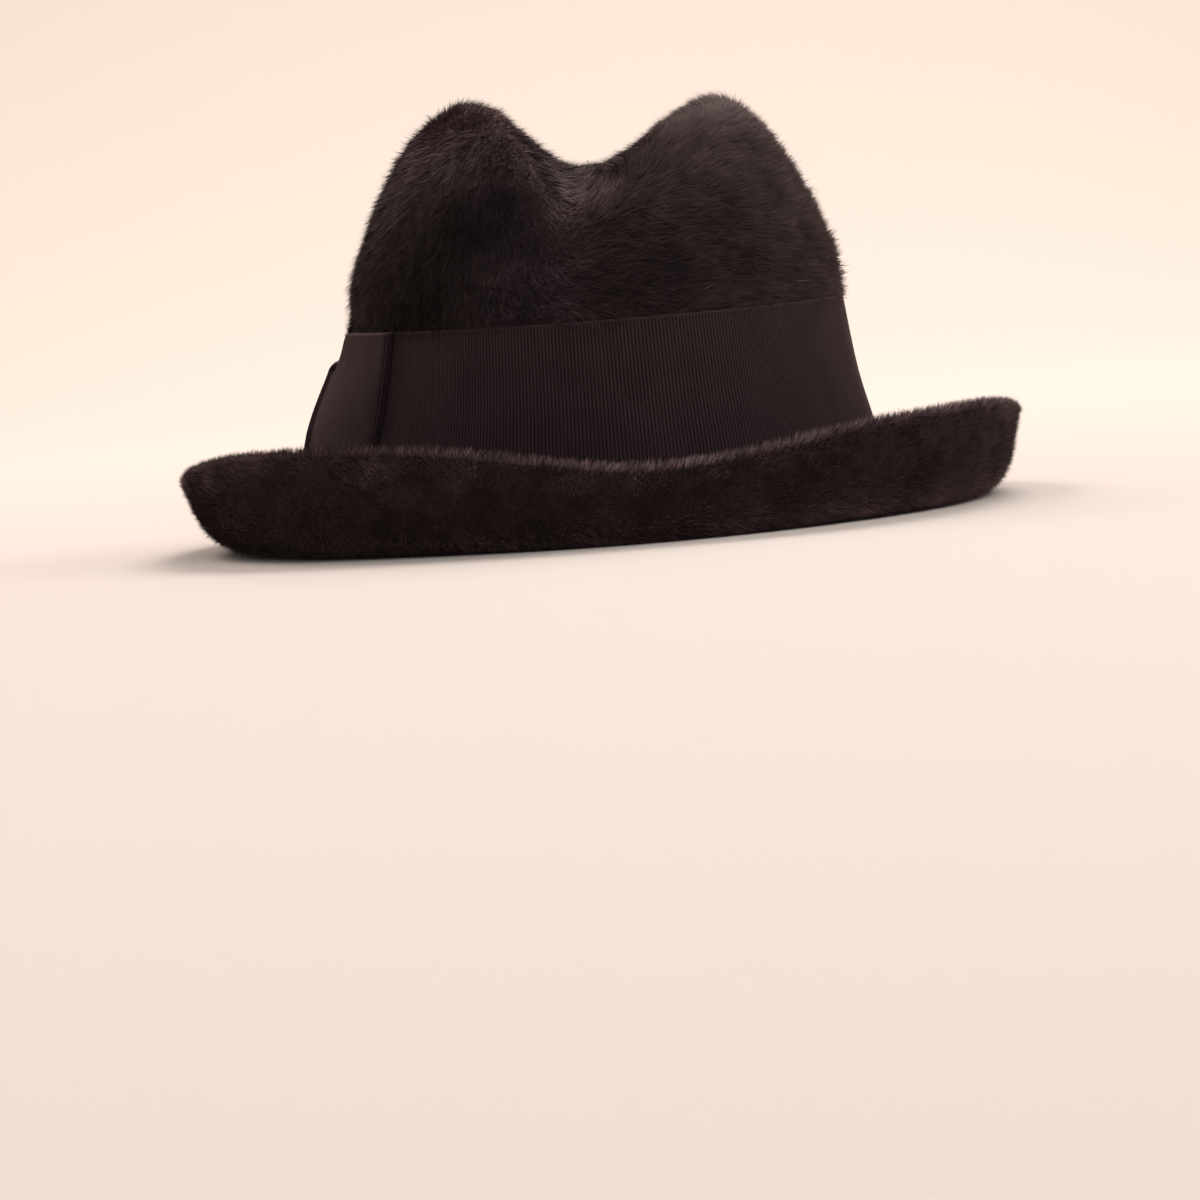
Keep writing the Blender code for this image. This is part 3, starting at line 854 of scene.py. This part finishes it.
# turn, height share and reach of the painted highlight, where more pale hairs are painted
highlightPlace = (341, 0.53, 0.026)


def sheetNormals(points):
    across = np.roll(points, -1, 1) - np.roll(points, 1, 1)
    upward = np.gradient(points, axis=0)
    return unit(np.cross(across, upward)), unit(across)


def scatter(rng, points, fields, count):
    # roots spread evenly over a closed sheet, by area; fields are read at each root
    p = points
    right = np.roll(p, -1, 1)
    area = 0.5 * np.linalg.norm(np.cross(right[:-1] - p[:-1], p[1:] - p[:-1]), axis=-1)
    area += 0.5 * np.linalg.norm(np.cross(right[1:] - right[:-1], right[1:] - p[1:]), axis=-1)
    total = np.cumsum(area.ravel())
    pick = np.searchsorted(total, (np.arange(count) + rng.random(count)) * total[-1] / count)
    pick = np.minimum(pick, area.size - 1)
    i, j = np.divmod(pick, area.shape[1])
    b, a = rng.random((2, count))
    k = (j + 1) % p.shape[1]

    def mixed(grid):
        low = grid[i, j] * (1 - a)[:, None] + grid[i, k] * a[:, None]
        high = grid[i + 1, j] * (1 - a)[:, None] + grid[i + 1, k] * a[:, None]
        return low * (1 - b)[:, None] + high * b[:, None]

    roots = {key: unit(mixed(grid)) for key, grid in fields.items()}
    roots["point"] = mixed(p)
    roots["row"] = (i + b) / (p.shape[0] - 1)
    roots["turn"] = ((j + a) * 360.0 / p.shape[1]) % 360.0
    return roots


def waves(rng, points, longest, shortest, count=10):
    # a slow, even field between about -1 and 1 over the felt
    field = np.zeros(len(points))
    for _ in range(count):
        way = unit(rng.normal(size=3))
        length = shortest * (longest / shortest) ** rng.random()
        field += np.sin(points @ way * (2 * math.pi / length) + rng.random() * 2 * math.pi)
    return field / math.sqrt(count)


def strands(rng, name, roots, lay, look, length=1.0, lift=0.0, tone=1.0, blue=1.0, glints=nap["glints"]):
    # straight thin blades, widest at the felt, that gather towards the tips of their clumps
    base, normal = roots["point"], roots["normal"]
    count = len(base)
    across = unit(np.cross(lay, normal))
    chosen = rng.choice(count, int(count * nap["clumps"]), replace=False)
    tree = KDTree(len(chosen))
    for order, index in enumerate(chosen):
        tree.insert(base[index], order)
    tree.balance()
    clump = np.array([tree.find(p)[1] for p in base])

    def varied(spread, field):
        each, clumped, slow = spread
        return (rng.normal(0.0, each, count) + rng.normal(0.0, clumped, len(chosen))[clump]
                + slow * field)

    twist = np.radians(varied(nap["twist"], waves(rng, base, *nap["twistWaves"])))
    along = unit(lay * np.cos(twist)[:, None] + across * np.sin(twist)[:, None])
    shortest, more = nap["lengths"]
    long = (look["length"] * length * (shortest + more * rng.random(count)))[:, None]
    raised = varied(nap["raise"], waves(rng, base, *nap["raiseWaves"])) + look["lift"] + lift
    raised = np.radians(np.clip(raised, *nap["raiseLimits"]))[:, None]
    way = along * np.cos(raised) + normal * np.sin(raised)
    root = base - normal * nap["sink"]
    tip = root + way * long
    drawn = tip[chosen][clump] - tip
    apart = np.linalg.norm(drawn, axis=1)
    grip = np.clip(nap["clumpGrip"] - apart / nap["clumpReach"], 0.0, 1.0)
    pull = nap["clumpPull"] * rng.random(count) * grip
    tip = tip + drawn * pull[:, None]
    way = unit(tip - root)
    side = unit(np.cross(way, normal))
    roll = np.clip(rng.normal(0.0, nap["roll"], count), -nap["mostRoll"], nap["mostRoll"])
    roll = np.radians(roll)[:, None]
    side = side * np.cos(roll) + np.cross(way, side) * np.sin(roll)
    narrowest, more = nap["widths"]
    half = 0.5 * nap["width"] * (narrowest + more * rng.random(count))[:, None]
    points = onFloor(np.stack((root - side * half, root + side * half, tip), 1), nap["floorGap"])
    face = unit(np.cross(side, way))
    shade = unit(normal * (1.0 - nap["faceShare"]) + face * nap["faceShare"]) @ standTurn.T
    uneven = 1.0 + varied(nap["toneSpread"], waves(rng, base, *nap["toneWaves"]))
    bright = tone * np.clip(uneven, *nap["toneLimits"])
    bright = bright * np.where(rng.random(count) < glints, nap["glintGain"], 1.0)
    colour = np.ones((count, 3, 4), np.float32)
    colour[:, :, 0] = bright[:, None]
    colour[:, :, 1] = np.array([nap["rootShare"], nap["rootShare"], 1.0])
    cool = np.clip(1.0 + rng.normal(0.0, nap["blueSpread"], count), *nap["blueLimits"])
    colour[:, :, 2] = (blue * cool)[:, None]
    mesh = bpy.data.meshes.new(name)
    mesh.vertices.add(count * 3)
    mesh.vertices.foreach_set("co", points.astype(np.float32).ravel())
    mesh.loops.add(count * 3)
    mesh.loops.foreach_set("vertex_index", np.arange(count * 3, dtype=np.int32))
    mesh.polygons.add(count)
    mesh.polygons.foreach_set("loop_start", (np.arange(count) * 3).astype(np.int32))
    mesh.update(calc_edges=True)
    mesh.shade_smooth()
    mesh.normals_split_custom_set_from_vertices(np.repeat(shade, 3, 0).astype(np.float32))
    attribute = mesh.attributes.new("napTone", "FLOAT_COLOR", "POINT")
    attribute.data.foreach_set("color", colour.ravel())
    addPiece(mesh, napLook)
    print(name, count, "strands")


# lay of the nap on the crown by turn, in degrees up from the way round to the wearer's right
layRows = ((0, -14), (25, -9), (60, -8), (120, -8), (180, -20), (240, -50), (290, -76),
           (322, -66), (343, -40))
crownLay = columnCurve(layRows, 1, 360.0)


def flatten(way, normal):
    return unit(way - normal * np.sum(way * normal, 1, keepdims=True))


def part(roots, chosen):
    return {key: values[chosen] for key, values in roots.items()}


def keepOffRibbon(rng, roots, lay):
    # the nap just above the ribbon runs along it, but for a few tufts that lie over its edge
    turn, spread, reach = nap["overRibbon"]
    away = np.abs((roots["turn"] - turn + 180.0) % 360.0 - 180.0)
    usual, varying = nap["tufts"]
    tufts = np.clip(usual + varying * waves(rng, roots["point"], *nap["tuftWaves"]), 0.0, 1.0)
    over = reach * soft(np.minimum(away / spread, 1.0)) * tufts
    free = roots["point"][:, 2] - ribbon["seat"] - ribbon["width"] + over
    steepest = np.maximum(free, 0.0) / nap["crown"]["length"]
    drop = np.maximum(-lay[:, 2] - steepest, 0.0)
    kept = lay + np.array([0.0, 0.0, 1.0]) * drop[:, None]
    return flatten(kept, roots["normal"])


def placeOf(turn, height):
    return crownPoint(np.array(float(turn)), levelAt(hat["crownHeight"] * height))


def nearPlace(points, turn, height, reach):
    return soft(np.minimum(np.linalg.norm(points - placeOf(turn, height), axis=1) / reach, 1.0))


def nearLine(points, rows, reach):
    # 1 on a line drawn over the crown, fading to 0 at its reach
    marks = [placeOf(*row) for row in rows]
    nearest = np.full(len(points), 1.0)
    for start, end in zip(marks, marks[1:]):
        along = np.clip((points - start) @ (end - start) / np.sum((end - start) ** 2), 0.0, 1.0)
        apart = points - start - along[:, None] * (end - start)
        nearest = np.minimum(nearest, np.linalg.norm(apart, axis=1))
    return soft(np.minimum(nearest / reach, 1.0))


def buildCrownNap(rng):
    first = levelAt(ribbon["seat"] + ribbon["width"] - topLay["below"])
    rise = topLay["level"] - first
    levels = (first + rise * np.linspace(0, 1, nap["crownRows"]))[:, None]
    points = crownPoint(napTurns + 0 * levels, levels + 0 * napTurns)
    normals, across = sheetNormals(points)
    roots = scatter(rng, points, {"normal": normals, "way": across}, nap["crown"]["count"])
    up = unit(np.cross(roots["normal"], roots["way"]))
    angle = np.radians(crownLay(roots["turn"]))[:, None]
    lay = roots["way"] * np.cos(angle) + up * np.sin(angle)
    # over the top the nap is brushed down into the crease and to the back
    level = first + rise * roots["row"]
    topShare = smooth(*topLay["levels"], level)[:, None]
    toRight, toLeft = np.array(topLay["toRight"]), np.array(topLay["toLeft"])
    over = smooth(*topLay["parting"], roots["point"][:, :1])
    brushed = flatten(toRight * (1 - over) + toLeft * over, roots["normal"])
    lay = unit(lay * (1 - topShare) + brushed * topShare)
    lay = keepOffRibbon(rng, roots, lay)
    tone, blue = np.ones((2, len(level)))
    # painted light on the parts of the crown that face up
    tone *= 1.0 + (nap["topLightTone"] - 1.0) * smooth(*topLay["facingUp"], roots["normal"][:, 2])
    crest = nearLine(roots["point"], crestRows, topLay["crestReach"] * paintedLineRows[0][1])
    length = 1.0 + (nap["crestLength"] - 1.0) * crest
    # what is seen of a hair is its outer half, so the painted light and shade follow the middle of each
    seen = roots["point"] + lay * (topLay["seenShare"] * nap["crown"]["length"] * length)[:, None]
    # painted light and shade in places, a painted highlight along the crease's crest and painted shade on
    # its wall
    shares = [(nearPlace(seen, *row[:3]), *row[3:]) for row in paintedLightRows]
    shares += [(nearLine(seen, *row[:2]), *row[2:]) for row in paintedLineRows]
    for share, gain, blueShare in shares:
        tone *= 1.0 + (gain - 1.0) * share
        blue *= 1.0 + (blueShare - 1.0) * share
    tone = np.minimum(tone, nap["mostLightTone"])
    # more pale hairs in the painted highlight
    light = nearPlace(roots["point"], *highlightPlace)
    glints = nap["glints"] + (nap["highlightGlints"] - nap["glints"]) * light
    order = np.argsort(roots["point"][:, 1], kind="stable")
    half = len(order) // 2
    for name, chosen in (("crownNapBack", order[:half]), ("crownNapFront", order[half:])):
        strands(rng, name, part(roots, chosen), lay[chosen], nap["crown"], length=length[chosen],
                tone=tone[chosen], blue=blue[chosen], glints=glints[chosen])


def brimGrid(side):
    # side 1 is the upper face, -1 the under face
    shares = np.linspace(brimLay["foot"], 1.0, nap["brimRows"])[:, None]
    points = brimPoint(napTurns + 0 * shares, shares + 0 * napTurns)
    normals, across = sheetNormals(points)
    normals = -normals
    if side < 0:
        points = points - normals * hat["feltThick"]
    return points, normals * side, across


def edgeGrid():
    # the raw edge between the two faces and a narrow strip of both, with normals that fan round it
    upper, normals, across = brimGrid(1)
    inner, top, normal, way = upper[-2], upper[-1], normals[-1], across[-1]
    out = unit(top - inner)
    radius = 0.5 * hat["feltThick"]
    rows, fan = [], []
    for angle in np.radians(np.linspace(-90.0, 90.0, brimLay["fanSteps"])):
        back = nap["rimStrip"] * (abs(math.sin(angle)) ** brimLay["stripPower"])
        rows.append(top - normal * radius * (1.0 - math.sin(angle)) - out * back)
        fan.append(out * math.cos(angle) + normal * math.sin(angle))
    fan = unit(np.stack(fan) + brimLay["fanOut"] * out)
    return np.stack(rows), fan, way + 0 * fan, out + 0 * fan


def paintedRimHighlight(points):
    # painted highlight on the rim, weaker towards the wearer's right
    left, right = nap["rimHighlightGains"]
    return left + (right - left) * smooth(0.0, 0.5 * hat["footWidth"], points[:, 0])


def buildBrimNap(rng):
    near, more = brimLay["turns"]
    for name, side, look in (("brimNapTop", 1, nap["brimTop"]), ("brimNapUnder", -1, nap["brimUnder"])):
        points, normals, across = brimGrid(side)
        roots = scatter(rng, points, {"normal": normals, "way": across}, look["count"])
        turn = np.radians(roots["turn"])
        outward = flatten(np.stack((np.sin(turn), -np.cos(turn), 0 * turn), -1), roots["normal"])
        step = brimLay["foot"] + (1.0 - brimLay["foot"]) * roots["row"]
        # the nap runs along the brim near the crown and turns outward towards the edge
        angle = np.radians(near + more * smooth(*brimLay["turning"], step))[:, None]
        lay = flatten(roots["way"], roots["normal"]) * np.cos(angle) + outward * np.sin(angle)
        waver = brimLay["rimWaver"] * waves(rng, roots["point"], *nap["rimWaves"])
        rim = smooth(*brimLay["rim"], step + waver)
        # painted highlight along the rim
        tone = 1.0 + (paintedRimHighlight(roots["point"]) - 1.0) * rim
        if side < 0:
            # painted light and shade on the underside: lighter close to the crown, darker further out
            dark = smooth(*brimLay["darkening"], step)
            tone *= nap["footLightTone"] + (nap["underShadeTone"] - nap["footLightTone"]) * dark
            # painted light just above the floor
            above = smooth(0.0, brimLay["floorReach"], onFloor(roots["point"])[:, 2])
            tone *= nap["floorLightTone"] + (1.0 - nap["floorLightTone"]) * above
        length = 1.0 - brimLay["rimShorter"] * smooth(*brimLay["shortening"], step)
        strands(rng, name, roots, unit(lay), look, length=length, lift=brimLay["rimLift"] * rim, tone=tone)
    points, normals, across, out = edgeGrid()
    roots = scatter(rng, points, {"normal": normals, "way": across, "out": out}, nap["brimEdge"]["count"])
    first, last = brimLay["edgeLay"]
    lay = unit(flatten(first * roots["way"] + roots["out"], roots["normal"]) + last * roots["way"])
    # the painted highlight lies along the very edge and fades on its two faces
    edge = smooth(*brimLay["edgeFacing"], np.sum(roots["normal"] * roots["out"], 1))
    tone = 1.0 + (paintedRimHighlight(roots["point"]) - 1.0) * edge
    tone *= np.clip(1.0 + rng.normal(0.0, nap["rimSpread"], len(lay)), *brimLay["rimLimits"])
    strands(rng, "brimNapEdge", roots, lay, nap["brimEdge"], tone=tone, blue=nap["rimBlue"])


napRandom = np.random.default_rng(nap["seed"])
buildCrownNap(napRandom)
buildBrimNap(napRandom)
print("nap built")

photo = {
    "distance": 1.28,
    "eye": 0.084,            # above the crown's foot
    "yaw": 5.5,
    "roll": 4.5,
    "focal": 4060.0,         # pixels on 1200
    "mark": (8.0, 134.0),    # where the hat's origin lies from the picture's middle, in pixels
    "picture": 1200.0,
    "sensor": 36.0,
    "clipStart": 0.01,
    "rounds": 8,             # of finding the point that the camera looks at
}


def buildCamera():
    yaw, roll = math.radians(photo["yaw"]), math.radians(photo["roll"])
    eye = Vector((-photo["distance"] * math.sin(yaw), -photo["distance"] * math.cos(yaw), photo["eye"]))
    target = Vector((0.0, 0.0, 0.0))
    for _ in range(photo["rounds"]):
        ahead = (target - eye).normalized()
        level = ahead.cross(Vector((0, 0, 1))).normalized()
        rise = level.cross(ahead)
        right = level * math.cos(roll) - rise * math.sin(roll)
        up = rise * math.cos(roll) + level * math.sin(roll)
        scale = (-eye).dot(ahead) / photo["focal"]
        target = -(right * photo["mark"][0] + up * photo["mark"][1]) * scale
    turned = Matrix((right, up, -ahead)).transposed().to_4x4()
    data = bpy.data.cameras.new("camera")
    data.sensor_width = photo["sensor"]
    data.lens = photo["focal"] / photo["picture"] * photo["sensor"]
    data.clip_start = photo["clipStart"]
    camera = bpy.data.objects.new("camera", data)
    scene.collection.objects.link(camera)
    camera.matrix_world = standMatrix @ Matrix.Translation(eye) @ turned
    scene.camera = camera


studio = {
    "floor": (0.562, 0.510, 0.474, 1.0),
    "floorRoughness": 0.9,
    "front": -6.0,           # where the floor begins, then the backdrop's place, height, bend and width
    "depth": 2.2,
    "height": 2.6,
    "bend": 0.8,
    "wide": 8.0,
    "bendSteps": 12,
    "air": (1.0, 0.95, 0.91, 1.0),
    "airStrength": 0.34,
    "lights": (
        # name, place, aim, size, watts, colour
        ("backLight", (0.7, 1.6, 2.0), (0.0, 0.0, 0.06), 1.2, 50.0, (1.0, 0.89, 0.81)),
        ("rimLight", (-1.1, 1.4, 1.9), (0.0, 0.0, 0.06), 1.0, 32.0, (1.0, 0.87, 0.79)),
        ("keyLight", (1.6, -0.2, 1.6), (0.0, 0.0, 0.06), 1.2, 24.0, (1.0, 0.95, 0.91)),
        ("fillLight", (0.2, -1.1, 1.2), (0.0, -0.2, 0.03), 0.8, 7.0, (1.0, 0.96, 0.94)),
        ("leftLight", (-0.9, -1.1, 0.9), (0.0, 0.0, 0.04), 0.8, 3.0, (1.0, 0.96, 0.94)),
        ("paperLight", (0.0, 0.9, 1.9), (0.0, 2.2, 0.9), 1.2, 1.0, (1.0, 0.94, 0.88)),
    ),
}


def buildStudio():
    # a floor that bends up into a backdrop
    depth, bend, wide, steps = (studio[key] for key in ("depth", "bend", "wide", "bendSteps"))
    profile = [(studio["front"], 0.0), (depth - bend, 0.0)]
    for i in range(1, steps + 1):
        angle = 0.5 * math.pi * i / steps
        profile.append((depth - bend + bend * math.sin(angle), bend - bend * math.cos(angle)))
    profile.append((depth, studio["height"]))
    rows = np.array([[(x, y, z) for x in (-0.5 * wide, 0.5 * wide)] for y, z in profile])
    material = newMaterial("paperSweep", studio["floor"], studio["floorRoughness"])[0]
    sweep = bpy.data.objects.new("paperSweep", gridMesh("paperSweep", rows, False))
    sweep.data.materials.append(material)
    scene.collection.objects.link(sweep)
    for name, place, aim, size, watts, colour in studio["lights"]:
        data = bpy.data.lights.new(name, "AREA")
        data.size = size
        data.energy = watts
        data.color = colour
        lamp = bpy.data.objects.new(name, data)
        lamp.location = place
        lamp.rotation_euler = (Vector(aim) - Vector(place)).to_track_quat("-Z", "Y").to_euler()
        scene.collection.objects.link(lamp)
    world = bpy.data.worlds.new("softAir")
    world.use_nodes = True
    air = world.node_tree.nodes["Background"]
    air.inputs["Color"].default_value = studio["air"]
    air.inputs["Strength"].default_value = studio["airStrength"]
    scene.world = world
    scene.view_settings.view_transform = "Standard"


buildCamera()
buildStudio()
print("studio built")
